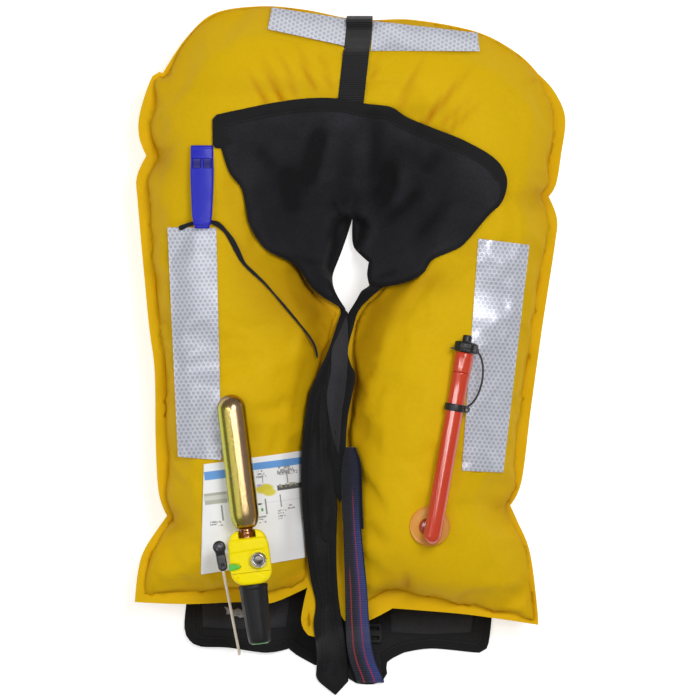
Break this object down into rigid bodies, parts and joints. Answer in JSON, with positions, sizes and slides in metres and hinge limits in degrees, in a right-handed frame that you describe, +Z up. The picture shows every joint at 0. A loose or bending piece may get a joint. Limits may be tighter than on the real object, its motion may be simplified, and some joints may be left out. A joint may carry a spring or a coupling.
{
  "type": "inflatable life jacket",
  "caption": "Inflated horseshoe life jacket lying on its opened cover, with automatic gas inflator, oral tube, whistle on a lanyard, reflective tape, care label and waist belt.",
  "frame": {"origin": "middle of the footprint, on the surface the jacket lies on", "axes": "+Z up off the surface, +Y towards the neck end, +X to the right seen from above with the neck end at the top"},
  "size_m": [0.414, 0.664, 0.1482],
  "materials": {
    "bladder_nylon": "coated nylon, satin",
    "reflective_tape": "retroreflective film",
    "label_film": "printed film",
    "cover_fabric": "matte woven",
    "lining_fabric": "satin lining",
    "hook_strip": "hook and loop",
    "black_webbing": "woven webbing",
    "belt_webbing": "woven webbing with two red lines",
    "buckle_plastic": "moulded",
    "inflator_yellow": "moulded, glossy",
    "manifold_plastic": "welded fitting",
    "stem_brass": "machined",
    "seal_rubber": "moulded",
    "nut_chrome": "plated",
    "lever_plastic": "moulded",
    "bracket_steel": "brushed",
    "polished_steel": "polished",
    "indicator_green": "moulded",
    "cylinder_zinc": "yellow zinc plate",
    "cartridge_plastic": "moulded",
    "plunger_plastic": "moulded",
    "soluble_bobbin": "pressed",
    "pull_cord": "braided",
    "oral_red": "moulded",
    "base_disc": "translucent welded disc",
    "cap_rubber": "moulded",
    "whistle_blue": "moulded",
    "lanyard_cord": "flat braid"
  },
  "bodies": {
    "jacket": {"back_strap": "black_webbing", "bladder": "bladder_nylon", "buckle_female": "buckle_plastic", "care_label": "label_film", "collar": "cover_fabric", "cover_back_left": "cover_fabric", "cover_back_neck": "cover_fabric", "cover_back_right": "cover_fabric", "cover_edge_left": "cover_fabric", "cover_edge_right": "cover_fabric", "cylinder_gasket": "seal_rubber", "edge_lining": "lining_fabric", "flap_lining_left": "lining_fabric", "flap_lining_right": "lining_fabric", "hook_and_loop_strip": "hook_strip", "inflator_body": "inflator_yellow", "inflator_front_plate": "inflator_yellow", "inflator_manifold": "manifold_plastic", "lanyard_knot": "lanyard_cord", "lever_bracket": "bracket_steel", "lever_pin": "bracket_steel", "manifold_stem": "stem_brass", "neck_strap": "black_webbing", "oral_base": "base_disc", "pull_cord": "pull_cord", "pull_handle": "lever_plastic", "tape_left": "reflective_tape", "tape_right": "reflective_tape", "tape_top_left": "reflective_tape", "tape_top_right": "reflective_tape", "waist_belt_back": "belt_webbing", "waist_belt_front": "belt_webbing", "waist_belt_return": "belt_webbing", "waist_belt_rise": "belt_webbing", "waist_belt_tab": "belt_webbing", "washer_back": "seal_rubber", "washer_front": "seal_rubber", "whistle_lanyard": "lanyard_cord"},
    "lever": {"lever": "lever_plastic"},
    "pin": {"piercing_pin": "polished_steel", "pin_spring": "polished_steel"},
    "indicator": {"status_indicator": "indicator_green"},
    "cylinder": {"co2_cylinder": "cylinder_zinc"},
    "cartridge": {"cartridge_case": "cartridge_plastic", "cartridge_end_cap": "indicator_green", "cartridge_plunger": "plunger_plastic", "soluble_ring": "soluble_bobbin", "cartridge_spring": "polished_steel"},
    "nut": {"dome_nut": "nut_chrome"},
    "oral": {"oral_tube": "oral_red", "mouthpiece": "oral_red", "tether_band": "cap_rubber", "cap_tether": "cap_rubber", "valve_spring": "polished_steel"},
    "cap": {"oral_cap": "cap_rubber"},
    "valve": {"valve_poppet": "polished_steel"},
    "whistle": {"whistle": "whistle_blue"},
    "buckle_plug": {"buckle_male": "buckle_plastic", "belt_loop": "belt_webbing"},
    "slider": {"belt_slider": "buckle_plastic"}
  },
  "joints": [
    {"name": "lever_swing", "type": "hinge", "parent": "jacket", "child": "lever", "pos_m": [-0.125, -0.187, 0.1298], "axis": [0, 0, -1], "range_deg": [0, 100]},
    {"name": "pin_travel", "type": "slide", "parent": "jacket", "child": "pin", "axis": [-0.1219, 0.9925, 0], "range_m": [0, 0.004]},
    {"name": "indicator_travel", "type": "slide", "parent": "jacket", "child": "indicator", "axis": [-0.1219, 0.9925, 0], "range_m": [0, 0.0026]},
    {"name": "cylinder_unscrew", "type": "hinge", "parent": "jacket", "child": "cylinder", "pos_m": [-0.0959, -0.197, 0.1243], "axis": [-0.1219, 0.9925, 0], "continuous": true},
    {"name": "cartridge_unscrew", "type": "hinge", "parent": "jacket", "child": "cartridge", "pos_m": [-0.0959, -0.197, 0.1243], "axis": [-0.1219, 0.9925, 0], "continuous": true},
    {"name": "nut_unscrew", "type": "hinge", "parent": "jacket", "child": "nut", "pos_m": [-0.08749, -0.19899, 0.1243], "axis": [0, 0, 1], "continuous": true},
    {"name": "oral_tube_lift", "type": "hinge", "parent": "jacket", "child": "oral", "pos_m": [0.0789, -0.1756, 0.1283], "axis": [0.9848, -0.1736, 0], "range_deg": [0, 80]},
    {"name": "cap_pull", "type": "slide", "parent": "oral", "child": "cap", "axis": [0.1736, 0.9848, 0], "range_m": [0, 0.014]},
    {"name": "valve_press", "type": "slide", "parent": "oral", "child": "valve", "axis": [-0.1736, -0.9848, 0], "range_m": [0, 0.003], "stiffness_N_per_m": 300, "springref_m": -0.002},
    {"name": "whistle_lift", "type": "hinge", "parent": "jacket", "child": "whistle", "pos_m": [-0.1415, 0.1218, 0.1154], "axis": [1, 0, 0], "range_deg": [0, 90]},
    {"name": "buckle_release", "type": "slide", "parent": "jacket", "child": "buckle_plug", "axis": [0, -1, 0], "range_m": [0, 0.02]},
    {"name": "slider_adjust", "type": "slide", "parent": "jacket", "child": "slider", "axis": [-0.1096, 0.994, 0], "range_m": [-0.015, 0.015]}
  ],
  "couplings": [
    {"joint": "pin_travel", "follows": "lever_swing", "m_per_rad": 0.0022917},
    {"joint": "indicator_travel", "follows": "lever_swing", "m_per_rad": 0.0014896}
  ]
}
